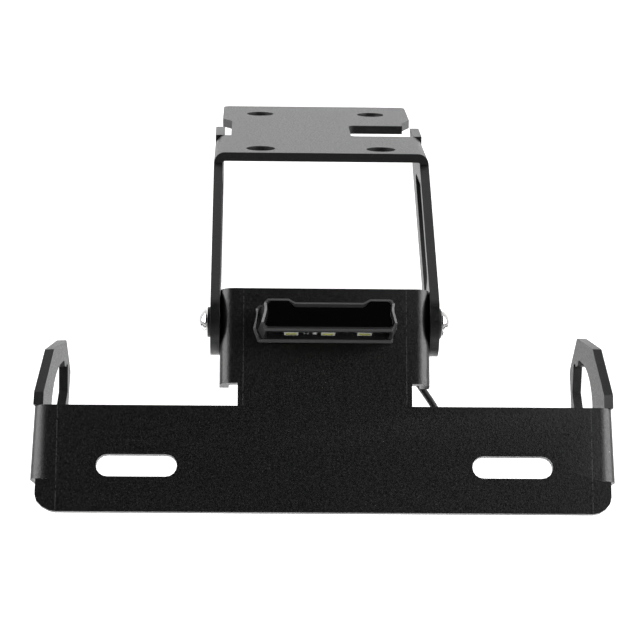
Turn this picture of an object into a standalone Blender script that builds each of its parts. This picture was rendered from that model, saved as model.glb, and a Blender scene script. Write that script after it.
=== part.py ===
"""Licence plate holder for a motorbike: two folded steel brackets on a pivot, with an LED plate lamp.

The mounting bracket bolts under the tail. Its two arms carry the plate holder on a pair of pivot
screws, and the lamp on the holder's web lights the plate. Metres, +Z up, the viewer at -Y.
"""
from math import acos, asin, atan2, cos, pi, radians, sin, sqrt

import bmesh
import bpy
from mathutils import Matrix, Vector

# Sheet and bends
SHEET = 0.0035
NEUTRAL = 0.44
BEND_STEPS = 8
ARC_STEPS = 8
GAP = 0.0003
SLIT = 0.0004

# Mounting bracket, measured back from its front edge
PLATE_LENGTH = 0.138
FRONT_ROW = 0.0115
ROW_PITCH = 0.102
HOLE_PITCH = 0.051
HOLE = 0.0125
REAR_INSET = 0.0026
REAR_CORNER = 0.008
NOTCH_INSIDE = 0.0023
NOTCH_FRONT = 0.0476
NOTCH_REAR = 0.0862
CHAMFER_REAR = 0.0975
CABLE_SLOT_END = 0.0140
CABLE_SLOT_REAR = 0.0790
SLOT_CORNER = 0.0025
ARM_SPAN = 0.090
ARM_BEND = 0.0010
ARM_REAR = 0.0720
ARM_END = 0.0130
ARM_WINDOW_TOP = 0.0118
ARM_FRONT_BAND = 0.0040
ARM_REAR_BAND = 0.0078
ARM_WINDOW_CLEAR = 0.0180
WINDOW_CORNER = 0.0020
PIVOT_FORWARD = 0.0707
PIVOT_DROP = 0.0567

# Plate holder, measured up from the pivot and back from its front face
TILT = radians(26.0)
PIVOT_SETBACK = 0.0110
WEB_TOP = 0.0112
WEB_BEND = 0.0015
FLANGE_FOOT = 0.0268
FLANGE_FOOT_DEPTH = 0.0095
FLANGE_END = 0.0112
NECK_INSIDE = 0.0022
PLATE_TOP = 0.0360
PLATE_HEIGHT = 0.0417
PLATE_WIDTH = 0.2212
PLATE_CORNER = 0.0065
SLOT_PITCH = 0.146
SLOT_DROP = 0.0237
SLOT_LENGTH = 0.0316
SLOT_HEIGHT = 0.0089
EAR_PROUD = 0.00195
EAR_ANGLE = radians(97.4)
EAR_LIFT = 0.0129
EAR_HEIGHT = 0.0630
EAR_DEPTH = 0.0495
EAR_FRONT = 0.0012
EAR_NOSE = 0.0341
EAR_SHOULDER = (0.0156, 0.0088)
EAR_PEAK = 0.0376
EAR_REAR_DROP = 0.0105
EAR_CORNERS = (0.0010, 0.0020, 0.0030)
OPENING_FRONT = 0.0176
OPENING_ARC_END = 0.0317
OPENING_TOP = 0.0090
OPENING_KEY = (0.0350, 0.0363, 0.0376, 0.0402)
OPENING_KEY_HEIGHT = 0.0016
OPENING_REAR = 0.0435
OPENING_KNEE = (0.0465, 0.0120)
OPENING_WAIST = 0.0040

# Pivot screws, washers and nuts
THREAD = 0.0060
THREAD_CLEAR = 0.0003
SCREW_LENGTH = 0.0200
HEAD = 0.0105
HEAD_HEIGHT = 0.0033
HEAD_RIM = 0.0005
HEX_KEY = 0.0040
HEX_DEPTH = 0.0021
WASHER = 0.0120
INNER_WASHER = 0.0110
WASHER_THICK = 0.0010
NUT_FLATS = 0.0100
NUT_HEX = 0.0045
NUT_HEIGHT = 0.0062
NUT_COLLAR = 0.0092
INSERT_WALL = 0.0006
INSERT_HEIGHT = 0.0012
NUT_LIP = 0.0004
NUT_LIP_HOLD = 0.00045
TURNED_EDGE = 0.0006

# Lamp, measured from the web's front face
LAMP_LENGTH = 0.0544
LAMP_HEIGHT = 0.0129
LAMP_DEPTH = 0.0170
LAMP_TOP = 0.0032
LAMP_ASIDE = 0.0008
LAMP_DRAW_IN = 0.0009
LAMP_NOTCH = 0.0324
LAMP_NOTCH_FLOOR = 0.0272
LAMP_NOTCH_DEPTH = 0.0014
LAMP_PEAK = 0.0024
LAMP_SHOULDER = (0.0010, 0.0017)
LAMP_WAIST = (0.0014, 0.0042)
LAMP_BELLY = 0.0094
LAMP_FOOT = 0.0019
LAMP_EDGE = 0.0010
LAMP_WAIST_CURVE = 0.0050
RIM_OUT = 0.0011
RIM_DEPTH = 0.0048
LAMP_LIP = 0.0011
LAMP_SILL = 0.0005
PANEL_NOTCH_DEPTH = 0.0024
PANEL_RECESS = 0.0016
PANEL_THICK = 0.0010
WINDOW_LENGTH = 0.0476
WINDOW_START = 0.0050
WINDOW_END = 0.0146
WINDOW_HEIGHT = 0.0041
POCKET_LENGTH = 0.0240
POCKET_HEIGHT = 0.0082
LENS_INSET = 0.0001
LENS_THICK = 0.0004
BOARD_THICK = 0.0010
LED_PITCH = 0.0144
LED_ROW = 0.0078
LED_SIZE = (0.0055, 0.0014, 0.0050)
LED_DIE = 0.0040
LED_DISH = 0.0004
CHIP_PLACES = (-0.0086, -0.0053)
CHIP_SIZE = (0.0019, 0.0006, 0.0010)
CHIP_AHEAD = 0.0015
LAMP_SCREW_PITCH = 0.0360
LAMP_FIXING_DROP = 0.0030
LAMP_THREAD = 0.0030
LAMP_SCREW_LENGTH = 0.0100
LAMP_HEAD = 0.0056
LAMP_HEAD_HEIGHT = 0.0022
LAMP_RECESS = 0.0031
LAMP_RECESS_ARM = 0.0007
LAMP_RECESS_DEPTH = 0.0015
CABLE_HOLE = 0.0060
GROMMET_FLANGE = 0.0085
GROMMET_LIP = 0.0016

# Lamp cable, its coil, tie and plug
CABLE = 0.0028
COIL_DIAMETER = 0.0290
COIL_TURNS = 2.5
COIL_SIDE = 0.0503
COIL_DROP = 0.0550
COIL_BACK = 0.0245
TIE_WIDTH = 0.0025
TIE_THICK = 0.0010
PLUG = (0.0072, 0.0130, 0.0046)
ROUTE = ((0.0000, -0.0030, -0.0059), (0.0012, -0.0034, -0.0110), (0.0080, -0.0060, -0.0158),
         (0.0190, -0.0107, -0.0176), (0.0302, -0.0170, -0.0170), (0.0379, -0.0238, -0.0156),
         (0.0421, -0.0302, -0.0150), (0.0455, -0.0364, -0.0128))

# Sizes that follow from those above
ARM_LINE = ARM_SPAN / 2 - ARM_BEND - SHEET
ARM_DROP = ARM_BEND + SHEET
HOLDER_SPAN = ARM_SPAN - 2 * SHEET - 2 * GAP
EAR_SPAN = PLATE_WIDTH + 2 * EAR_PROUD
EAR_FOOT = PLATE_TOP + PLATE_HEIGHT - EAR_LIFT
WEB_LINE = HOLDER_SPAN / 2 - WEB_BEND - SHEET
EAR_LINE = EAR_SPAN / 2 - WEB_BEND - SHEET
FRONT_EDGE = -FRONT_ROW - ROW_PITCH / 2
PIVOT = Vector((0, FRONT_EDGE - PIVOT_FORWARD, -PIVOT_DROP))
THREAD_HOLE = THREAD + 2 * THREAD_CLEAR
LAMP_BOTTOM = LAMP_TOP - LAMP_HEIGHT
LAMP_DRAFT = 1 - 2 * LAMP_DRAW_IN / LAMP_LENGTH

FACE = Vector((0, 0, PIVOT_SETBACK))


def clear():
    """Remove what the file held before."""
    for thing in list(bpy.data.objects):
        bpy.data.objects.remove(thing)


def new_collection(name):
    """Add a collection to the scene."""
    collection = bpy.data.collections.new(name)
    bpy.context.scene.collection.children.link(collection)
    return collection


def finish(name, colour, roughness, metallic=0.0):
    """Give a plain material of one colour."""
    material = bpy.data.materials.new(name)
    material.use_nodes = True
    shader = material.node_tree.nodes["Principled BSDF"]
    shader.inputs["Base Color"].default_value = (*colour, 1)
    shader.inputs["Roughness"].default_value = roughness
    shader.inputs["Metallic"].default_value = metallic
    return material


def add(name, mesh, material, parent=None, place=(0, 0, 0), turn=(0, 0, 0)):
    """Put a mesh in the holder's collection as a named piece."""
    piece = bpy.data.objects.new(name, mesh)
    PARTS.objects.link(piece)
    piece.location = place
    piece.rotation_euler = turn
    piece.parent = parent
    mesh.materials.clear()
    mesh.materials.append(material)
    return piece


def cut(piece, mesh, operation="DIFFERENCE", place=None, turn=None):
    """Cut a piece with a mesh that lies in the piece's own frame, unless it is placed."""
    cutter = bpy.data.objects.new(piece.name + "_cutter", mesh)
    CUTTERS.objects.link(cutter)
    cutter.parent = piece.parent
    cutter.location = piece.location if place is None else place
    cutter.rotation_euler = piece.rotation_euler if turn is None else turn
    cutter.hide_render = True
    cutter.display_type = "WIRE"
    boolean = piece.modifiers.new("cut", "BOOLEAN")
    boolean.operation = operation
    boolean.object = cutter
    return piece


def smooth(mesh):
    """Shade the round stretches smooth and keep the edges sharp."""
    mesh.shade_smooth()
    mesh.set_sharp_from_angle(angle=radians(32))
    return mesh


def circle(x, y, diameter, count=32):
    """Points round a circle."""
    steps = [2 * pi * i / count for i in range(count)]
    return [(x + diameter / 2 * cos(a), y + diameter / 2 * sin(a)) for a in steps]


def arc(x, y, radius, start, end, count=ARC_STEPS):
    """Points along an arc, its ends included."""
    steps = [start + (end - start) * i / count for i in range(count + 1)]
    return [(x + radius * cos(a), y + radius * sin(a)) for a in steps]


def long_hole(x, y, length, height):
    """Points round a hole with full round ends."""
    reach = (length - height) / 2
    right = arc(x + reach, y, height / 2, -pi / 2, pi / 2)
    left = arc(x - reach, y, height / 2, pi / 2, 3 * pi / 2)
    return right + left


def rounded(corners, count=4):
    """Turn corners (x, y, radius) into points, with an arc at each corner that has a radius."""
    points = []
    for i, (x, y, radius) in enumerate(corners):
        if not radius:
            points.append((x, y))
            continue
        here = Vector((x, y))
        before = (Vector(corners[i - 1][:2]) - here).normalized()
        after = (Vector(corners[(i + 1) % len(corners)][:2]) - here).normalized()
        half = acos(max(-1.0, min(1.0, before.dot(after)))) / 2
        middle = here + (before + after).normalized() * (radius / sin(half))
        reach = radius * cos(half) / sin(half)
        start = here + before * reach - middle
        turn = (pi - 2 * half) * (1 if before.cross(after) < 0 else -1)
        base = atan2(start.y, start.x)
        points += arc(middle.x, middle.y, radius, base, base + turn, count)
    return points


def mirrored(points):
    """Points of the other side, in the order that goes on round."""
    return [(-x, y) for x, y in reversed(points)]


def tangent(point, centre, radius, side):
    """Angle at which a line from the point touches the circle, on its left (1) or right (-1)."""
    toward = Vector(point) - Vector(centre)
    return atan2(toward.y, toward.x) + side * acos(radius / toward.length)


def flat(outlines, low, high):
    """Make a flat solid between two heights from closed outlines, the inner ones being holes."""
    curve = bpy.data.curves.new("outline", "CURVE")
    curve.dimensions = "2D"
    curve.fill_mode = "BOTH"
    curve.extrude = (high - low) / 2
    for points in outlines:
        spline = curve.splines.new("POLY")
        spline.points.add(len(points) - 1)
        for place, (x, y) in zip(spline.points, points):
            place.co = (x, y, 0, 1)
        spline.use_cyclic_u = True
    drawn = bpy.data.objects.new("outline", curve)
    bpy.context.scene.collection.objects.link(drawn)
    seen = drawn.evaluated_get(bpy.context.evaluated_depsgraph_get())
    mesh = bpy.data.meshes.new_from_object(seen)
    bpy.data.objects.remove(drawn)
    work = bmesh.new()
    work.from_mesh(mesh)
    bmesh.ops.remove_doubles(work, verts=work.verts, dist=1e-6)
    bmesh.ops.translate(work, verts=work.verts, vec=(0, 0, (low + high) / 2))
    bmesh.ops.recalc_face_normals(work, faces=work.faces)
    work.to_mesh(mesh)
    work.free()
    return smooth(mesh)


def bend_length(angle, inside):
    """Length of flat sheet that a bend takes up."""
    return angle * (inside + NEUTRAL * SHEET)


def fold(mesh, line, angle, inside, rows, reach=1.0, tab=None):
    """Bend the sheet back about the lines x = +-line over the given rows, out to its reach.

    A tab is given by its rows and its inner edge. There the sheet was cut free of the bend, so
    it stays flat and stands straight up past the bend.
    """
    length = bend_length(angle, inside)
    work = bmesh.new()
    work.from_mesh(mesh)
    for side in (-1, 1):
        for i in range(BEND_STEPS + 1):
            everything = work.verts[:] + work.edges[:] + work.faces[:]
            at = (side * (line + length * i / BEND_STEPS), 0, 0)
            bmesh.ops.bisect_plane(work, geom=everything, plane_co=at, plane_no=(1, 0, 0), dist=1e-7)
    for point in work.verts:
        x, y, z = point.co
        past = abs(x) - line
        free = tab is not None and tab[0] <= y <= tab[1] and abs(x) > tab[2]
        bent = rows[0] <= y <= rows[1] and 0 < past < reach - line
        if not (free or bent):
            continue
        turned = angle if free else min(past / length, 1) * angle
        straight = past - length if free else max(past - length, 0)
        radius = inside + SHEET + z
        out = line + radius * sin(turned) + straight * cos(turned)
        back = radius * cos(turned) - straight * sin(turned) - inside - SHEET
        point.co = (out if x > 0 else -out, y, back)
    bmesh.ops.recalc_face_normals(work, faces=work.faces)
    work.to_mesh(mesh)
    work.free()
    return smooth(mesh)


def turned(profile, steps=32, closed=False):
    """Turn a profile (radius, height), which runs down its outer side, into a solid about Z."""
    mesh = bpy.data.meshes.new("profile")
    pairs = [(i, i + 1) for i in range(len(profile) - 1)]
    if closed:
        pairs.append((len(profile) - 1, 0))
    mesh.from_pydata([(radius, 0, height) for radius, height in profile], pairs, [])
    shape = bpy.data.objects.new("profile", mesh)
    bpy.context.scene.collection.objects.link(shape)
    screw = shape.modifiers.new("turn", "SCREW")
    screw.steps = steps
    screw.render_steps = steps
    screw.use_merge_vertices = True
    screw.merge_threshold = 1e-6
    seen = shape.evaluated_get(bpy.context.evaluated_depsgraph_get())
    solid = bpy.data.meshes.new_from_object(seen)
    bpy.data.objects.remove(shape)
    work = bmesh.new()
    work.from_mesh(solid)
    bmesh.ops.recalc_face_normals(work, faces=work.faces)
    work.to_mesh(solid)
    work.free()
    return smooth(solid)


def ring(inner, outer, low, high, steps=32):
    """A flat ring between two heights."""
    profile = [(inner / 2, high), (outer / 2, high), (outer / 2, low), (inner / 2, low)]
    return turned(profile, steps, closed=True)


def rod(diameter, low, high, steps=24):
    """A plain cylinder between two heights."""
    return turned([(0, high), (diameter / 2, high), (diameter / 2, low), (0, low)], steps)


def block(size, centre):
    """A box of the given size about its centre."""
    mesh = bpy.data.meshes.new("block")
    work = bmesh.new()
    bmesh.ops.create_cube(work, size=1)
    bmesh.ops.scale(work, verts=work.verts, vec=size)
    bmesh.ops.translate(work, verts=work.verts, vec=centre)
    work.to_mesh(mesh)
    work.free()
    return mesh


def hexagon(flats, low, high):
    """A six-sided bar between two heights."""
    mesh = bpy.data.meshes.new("hexagon")
    work = bmesh.new()
    radius = flats / 2 / cos(pi / 6)
    bmesh.ops.create_cone(work, cap_ends=True, segments=6, radius1=radius, radius2=radius,
                          depth=high - low)
    bmesh.ops.translate(work, verts=work.verts, vec=(0, 0, (low + high) / 2))
    work.to_mesh(mesh)
    work.free()
    return mesh


def cross_point(a, along_a, b, along_b):
    """Where two lines meet, each given by a point and a direction."""
    share = (b - a).cross(along_b) / along_a.cross(along_b)
    return a + along_a * share


def arm_flat(y, z):
    """Place in the flat sheet of a point of an arm that hangs at y and z."""
    return ARM_LINE + bend_length(pi / 2, ARM_BEND) - ARM_DROP - z, y


def arm_end():
    """Arc of the arm's round end, from its front edge round to its rear edge."""
    centre = (PIVOT.y, PIVOT.z)
    front = tangent((FRONT_EDGE, -ARM_DROP), centre, ARM_END, 1)
    rear = tangent((FRONT_EDGE + ARM_REAR, 0), centre, ARM_END, -1)
    points = arc(*centre, ARM_END, front, rear + 2 * pi, 2 * ARC_STEPS)
    return [arm_flat(y, z) for y, z in points]


def arm_window():
    """Outline of the long window in an arm, kept off the edges and the round end."""
    pivot = Vector((PIVOT.y, PIVOT.z))
    top_front = Vector((FRONT_EDGE, -ARM_DROP))
    top_rear = Vector((FRONT_EDGE + ARM_REAR, 0))
    touch = []
    for corner, side in ((top_front, 1), (top_rear, -1)):
        angle = tangent(corner, pivot, ARM_END, side)
        touch.append(pivot + ARM_END * Vector((cos(angle), sin(angle))))
    front_way = (top_front - touch[0]).normalized()
    rear_way = (top_rear - touch[1]).normalized()
    front = touch[0] + ARM_FRONT_BAND * Vector((front_way.y, -front_way.x))
    rear = touch[1] + ARM_REAR_BAND * Vector((-rear_way.y, rear_way.x))
    middle_way = (front_way + rear_way).normalized()
    end = pivot + ARM_WINDOW_CLEAR * middle_way
    end_way = Vector((-middle_way.y, middle_way.x))
    top = Vector((0, -ARM_WINDOW_TOP))
    level = Vector((1, 0))
    corners = [cross_point(front, front_way, top, level), cross_point(rear, rear_way, top, level),
               cross_point(rear, rear_way, end, end_way), cross_point(front, front_way, end, end_way)]
    places = [arm_flat(y, z) for y, z in corners]
    return rounded([(x, y, WINDOW_CORNER) for x, y in places])


def mounting_bracket():
    """Top plate with two arms folded down, cut and bent from one sheet."""
    notch = ARM_LINE - NOTCH_INSIDE
    rear = ARM_SPAN / 2 - REAR_INSET
    bend_end = ARM_LINE + bend_length(pi / 2, ARM_BEND)
    tab_top = arm_flat(0, 0)[0]
    front = FRONT_EDGE
    slit = front + NOTCH_FRONT + SLIT
    arm = [(bend_end, front)] + arm_end()
    arm += [(tab_top, front + ARM_REAR), (tab_top, slit), (bend_end, slit), (bend_end, front + NOTCH_FRONT)]
    back = [(notch, front + NOTCH_REAR, 0), (rear, front + CHAMFER_REAR, 0),
            (rear, front + PLATE_LENGTH, REAR_CORNER), (0, front + PLATE_LENGTH, 0)]
    back = rounded(back)[:-1]
    plain_notch = [(notch, front + NOTCH_FRONT)]
    cable_slot = rounded([(notch, front + NOTCH_FRONT, 0),
                          (CABLE_SLOT_END, front + NOTCH_FRONT, SLOT_CORNER),
                          (CABLE_SLOT_END, front + CABLE_SLOT_REAR, SLOT_CORNER),
                          (notch, front + CABLE_SLOT_REAR, 0)])
    outline = arm + cable_slot + back + mirrored(arm + plain_notch + back)
    holes = []
    for side in (-1, 1):
        pivot = arm_flat(PIVOT.y, PIVOT.z)
        holes.append(circle(side * pivot[0], pivot[1], THREAD_HOLE))
        holes += [circle(side * HOLE_PITCH / 2, row * ROW_PITCH / 2, HOLE) for row in (-1, 1)]
        holes.append([(side * x, y) for x, y in arm_window()])
    mesh = flat([outline] + holes, -SHEET, 0)
    rows = (-1, front + NOTCH_FRONT + SLIT / 4)
    tab = (slit - SLIT / 4, front + NOTCH_REAR - SLIT, (notch + tab_top) / 2)
    fold(mesh, ARM_LINE, pi / 2, ARM_BEND, rows, tab=tab)
    return add("mounting_bracket", mesh, BLACK_PAINT)


def flange_flat(depth, y):
    """Place in the flat sheet of a point of a flange at a depth behind the front face."""
    return WEB_LINE + bend_length(pi / 2, WEB_BEND) + depth - WEB_BEND - SHEET, y


def ear_flat(depth, y):
    """Place in the flat sheet of a point of an ear, its depth taken along the ear."""
    nose = (WEB_BEND + SHEET - WEB_BEND * cos(EAR_ANGLE)) / sin(EAR_ANGLE)
    return EAR_LINE + bend_length(EAR_ANGLE, WEB_BEND) + depth - nose, y


def ear_outline():
    """Outline of an ear from its front edge above the plate round to its foot."""
    low = -EAR_FOOT
    high = low + EAR_HEIGHT
    small, middle, large = EAR_CORNERS
    places = [(EAR_FRONT, -PLATE_TOP + SLIT, 0), (EAR_FRONT, low + EAR_NOSE, 0),
              (EAR_SHOULDER[0], high - EAR_SHOULDER[1], small), (EAR_PEAK, high, middle),
              (EAR_DEPTH, high - EAR_REAR_DROP, large), (EAR_DEPTH, low + EAR_REAR_DROP, large),
              (EAR_PEAK, low, middle)]
    return rounded([(*ear_flat(depth, y), radius) for depth, y, radius in places] + [(0, low, 0)])[:-1]


def ear_opening():
    """Outline of the big opening for an indicator: a round front, keyed ends and a waisted rear."""
    middle = -EAR_FOOT + EAR_HEIGHT / 2
    top = EAR_HEIGHT / 2 - OPENING_TOP
    key = top - OPENING_KEY_HEIGHT
    rise, fall, floor, end = OPENING_KEY
    upper = [(rise, top), (fall, top), (floor, key), (end, key), (end + fall - rise, top),
             (OPENING_REAR, top), OPENING_KNEE, (OPENING_REAR, OPENING_WAIST)]
    lower = [(depth, -y) for depth, y in reversed(upper)]
    run = OPENING_ARC_END - OPENING_FRONT
    radius = (run ** 2 + key ** 2) / (2 * run)
    start = atan2(key, radius - run)
    front = arc(OPENING_FRONT + radius, 0, radius, pi + start, pi - start, 2 * ARC_STEPS)
    return [ear_flat(depth, middle + y) for depth, y in upper + lower + front]


def plate_holder():
    """Web with flanges, neck and lower plate with ears, cut and bent from one sheet."""
    centre = (PIVOT_SETBACK, 0)
    foot = (FLANGE_FOOT_DEPTH, -FLANGE_FOOT)
    low = tangent(foot, centre, FLANGE_END, 1)
    flange = [flange_flat(*point) for point in arc(*centre, FLANGE_END, pi / 2, low, 2 * ARC_STEPS)]
    flange.append(flange_flat(*foot))
    neck = WEB_LINE - NECK_INSIDE
    flange += [(neck, -FLANGE_FOOT), (neck, -PLATE_TOP)]
    bend_end = EAR_LINE + bend_length(EAR_ANGLE, WEB_BEND)
    side = PLATE_WIDTH / 2
    bottom = -PLATE_TOP - PLATE_HEIGHT
    under = -EAR_FOOT - SLIT
    ear = [(bend_end, -PLATE_TOP), (bend_end, -PLATE_TOP + SLIT)] + ear_outline()
    inner = EAR_LINE - SLIT
    corner = rounded([(inner, under, 0), (side, under, 0), (side, bottom, PLATE_CORNER), (0, bottom, 0)])
    right = flange + ear + [(inner, -EAR_FOOT)] + corner[:-1]
    right = [(0, WEB_TOP)] + right + [(0, bottom)]
    outline = right + mirrored(right[1:-1])
    slot_y = -PLATE_TOP - SLOT_DROP
    holes = [circle(0, -LAMP_FIXING_DROP, CABLE_HOLE)]
    for sign in (-1, 1):
        pivot = flange_flat(PIVOT_SETBACK, 0)
        holes.append(circle(sign * pivot[0], pivot[1], THREAD_HOLE))
        holes.append(circle(sign * LAMP_SCREW_PITCH / 2, -LAMP_FIXING_DROP, LAMP_THREAD + 2 * GAP, 16))
        holes.append(long_hole(sign * SLOT_PITCH / 2, slot_y, SLOT_LENGTH, SLOT_HEIGHT))
        holes.append([(sign * x, y) for x, y in ear_opening()])
    mesh = flat([outline] + holes, -SHEET, 0)
    ear_tab = (EAR_LINE + ear_flat(EAR_FRONT, 0)[0]) / 2
    fold(mesh, WEB_LINE, pi / 2, WEB_BEND, (-PLATE_TOP + SLIT, WEB_TOP), reach=EAR_LINE)
    rows = (-EAR_FOOT - SLIT / 4, -PLATE_TOP + SLIT / 4)
    tab = (-PLATE_TOP + SLIT * 3 / 4, PLATE_TOP, ear_tab)
    fold(mesh, EAR_LINE, EAR_ANGLE, WEB_BEND, rows, tab=tab)
    return add("plate_holder", mesh, BLACK_PAINT, HINGE, FACE)


def button_profile():
    """Half section of a button-head screw, its bearing face at height 0 and its head upward."""
    half = HEAD / 2
    rise = HEAD_HEIGHT - HEAD_RIM
    radius = (half ** 2 + rise ** 2) / (2 * rise)
    dome = []
    for i in range(ARC_STEPS + 1):
        angle = asin(half / radius) * i / ARC_STEPS
        dome.append((radius * sin(angle), HEAD_HEIGHT - radius * (1 - cos(angle))))
    tip = THREAD / 2 - TURNED_EDGE
    return dome + [(half, 0), (THREAD / 2, 0), (THREAD / 2, -SCREW_LENGTH + TURNED_EDGE),
                   (tip, -SCREW_LENGTH), (0, -SCREW_LENGTH)]


def on_axis(x):
    """A point on the pivot's axis."""
    return x, PIVOT.y, PIVOT.z


def pivot_side(side, name):
    """Screw, washers and nut of one pivot, stacked along X from the arm's outer face."""
    turn = (0, side * pi / 2, 0)
    washer = ARM_SPAN / 2 + GAP
    bearing = washer + WASHER_THICK + GAP
    screw = add(f"pivot_screw_{name}", turned(button_profile()), STEEL, None, on_axis(side * bearing), turn)
    cut(screw, hexagon(HEX_KEY, HEAD_HEIGHT - HEX_DEPTH, 2 * HEAD_HEIGHT))
    add(f"pivot_washer_{name}", ring(THREAD_HOLE, WASHER, 0, WASHER_THICK), STEEL, None,
        on_axis(side * washer), turn)
    inner = HOLDER_SPAN / 2 - SHEET - GAP - WASHER_THICK
    add(f"inner_washer_{name}", ring(THREAD_HOLE, INNER_WASHER, 0, WASHER_THICK), STEEL, None,
        on_axis(side * inner), turn)
    seat = inner - GAP
    crown = NUT_FLATS / 2 + GAP
    reach = crown + TURNED_EDGE
    body = turned([(0, 0), (crown, 0), (reach, -TURNED_EDGE), (reach, -NUT_HEX),
                   (NUT_COLLAR / 2, -NUT_HEX), (NUT_COLLAR / 2, -NUT_HEIGHT), (0, -NUT_HEIGHT)], 24)
    nut = add(f"pivot_nut_{name}", hexagon(NUT_FLATS, -2 * NUT_HEIGHT, NUT_HEIGHT), STEEL, None,
              on_axis(side * seat), turn)
    cut(nut, body, "INTERSECT")
    bore = THREAD_HOLE / 2
    groove = bore + INSERT_WALL + GAP
    mouth = groove - NUT_LIP_HOLD
    lip = -NUT_HEIGHT + NUT_LIP
    floor = lip + INSERT_HEIGHT + 2 * GAP
    hollow = turned([(0, NUT_HEIGHT), (bore, NUT_HEIGHT), (bore, floor), (groove, floor), (groove, lip),
                     (mouth, lip), (mouth, -2 * NUT_HEIGHT), (0, -2 * NUT_HEIGHT)], 24)
    cut(nut, hollow)
    low = lip + GAP
    insert = ring(THREAD_HOLE, THREAD_HOLE + 2 * INSERT_WALL, low, low + INSERT_HEIGHT, 24)
    add(f"nut_insert_{name}", insert, NYLON, None, on_axis(side * seat), turn)


def lamp_outline(grow, aside=LAMP_ASIDE, notch_depth=LAMP_NOTCH_DEPTH, sill=0.0):
    """Outline of the lamp seen from the front: a notched top, waisted sides and cut lower corners."""
    half = LAMP_LENGTH / 2 + grow
    top = LAMP_TOP + grow
    bottom = LAMP_BOTTOM - grow + sill
    floor = top - notch_depth
    right = [(LAMP_NOTCH_FLOOR / 2, floor, LAMP_EDGE), (LAMP_NOTCH / 2, top, LAMP_EDGE),
             (half - LAMP_PEAK, top, LAMP_EDGE),
             (half - LAMP_SHOULDER[0], top - LAMP_SHOULDER[1], LAMP_EDGE),
             (half - LAMP_WAIST[0], top - LAMP_WAIST[1], LAMP_WAIST_CURVE),
             (half, top - LAMP_BELLY, LAMP_EDGE), (half - LAMP_FOOT, bottom, LAMP_EDGE)]
    points = rounded(right + [(0, bottom, 0), (0, floor, 0)])[:-2]
    return [(aside + x, y) for x, y in points + mirrored(points)]


def narrowed(mesh, above, scale):
    """Draw the part of a lamp solid that lies above a depth in toward the lamp's middle."""
    for point in mesh.vertices:
        if point.co.z > above:
            point.co.x = LAMP_ASIDE + (point.co.x - LAMP_ASIDE) * scale
    return mesh


def panel_outline(clearance):
    """Outline of the front panel's recess, less a clearance, narrowed as the housing is."""
    points = lamp_outline(-LAMP_LIP - clearance, notch_depth=PANEL_NOTCH_DEPTH, sill=LAMP_SILL)
    return [(LAMP_ASIDE + (x - LAMP_ASIDE) * LAMP_DRAFT, y) for x, y in points]


def lamp_window(shrink, low, high, length=WINDOW_LENGTH):
    """A box as wide as the window in the lamp's underside, less a clearance all round."""
    size = (length - 2 * shrink, high - low, WINDOW_END - WINDOW_START - 2 * shrink)
    return block(size, (LAMP_ASIDE, (low + high) / 2, (WINDOW_START + WINDOW_END) / 2))


def lamp():
    """Moulded housing with its front panel, circuit board, LEDs and lens."""
    body = narrowed(flat([lamp_outline(0)], RIM_DEPTH / 2, LAMP_DEPTH), RIM_DEPTH, LAMP_DRAFT)
    housing = add("lamp_housing", body, BLACK_PLASTIC, HINGE, FACE)
    cut(housing, flat([lamp_outline(RIM_OUT, aside=0)], GAP, RIM_DEPTH), "UNION")
    front = LAMP_DEPTH - PANEL_RECESS
    cut(housing, flat([panel_outline(0)], front, 2 * LAMP_DEPTH))
    roof = LAMP_BOTTOM + WINDOW_HEIGHT
    cut(housing, lamp_window(0, LAMP_BOTTOM - LAMP_HEIGHT, roof))
    pocket = LAMP_BOTTOM + POCKET_HEIGHT
    cut(housing, lamp_window(LAMP_LIP, roof - LAMP_LIP, pocket, POCKET_LENGTH))
    passage = rod(CABLE, -LAMP_DEPTH, WINDOW_START + 2 * LAMP_LIP, 16)
    cut(housing, passage, place=FACE + Vector((0, -LAMP_FIXING_DROP, 0)))
    for side in (-1, 1):
        blind = rod(LAMP_THREAD + 2 * GAP, -LAMP_DEPTH, LAMP_SCREW_LENGTH - SHEET, 16)
        cut(housing, blind, place=FACE + Vector((side * LAMP_SCREW_PITCH / 2, -LAMP_FIXING_DROP, 0)))
    panel = flat([panel_outline(GAP)], front + GAP, front + GAP + PANEL_THICK)
    add("lamp_front_panel", panel, DARK_GLOSS, HINGE, FACE)
    lens = LAMP_BOTTOM + LENS_INSET
    add("lamp_lens", lamp_window(GAP, lens, lens + LENS_THICK), CLEAR, HINGE, FACE)
    led = lens + LENS_THICK + GAP
    board = led + LED_SIZE[1] + GAP
    add("lamp_circuit_board", lamp_window(GAP, board, board + BOARD_THICK), BOARD_BLACK, HINGE, FACE)
    for i in range(3):
        x = LAMP_ASIDE + (i - 1) * LED_PITCH
        chip = add(f"led_{i + 1}", block(LED_SIZE, (x, led + LED_SIZE[1] / 2, LED_ROW)), WHITE_PLASTIC,
                   HINGE, FACE)
        dish = rod(LED_DIE, -LED_SIZE[1], LED_DISH, 24)
        cut(chip, dish, place=FACE + Vector((x, led, LED_ROW)), turn=(-pi / 2, 0, 0))
    for i, x in enumerate(CHIP_PLACES):
        place = (LAMP_ASIDE + x, board - GAP - CHIP_SIZE[1] / 2, LED_ROW + CHIP_AHEAD)
        add(f"resistor_{i + 1}", block(CHIP_SIZE, place), WHITE_PLASTIC, HINGE, FACE)


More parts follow.
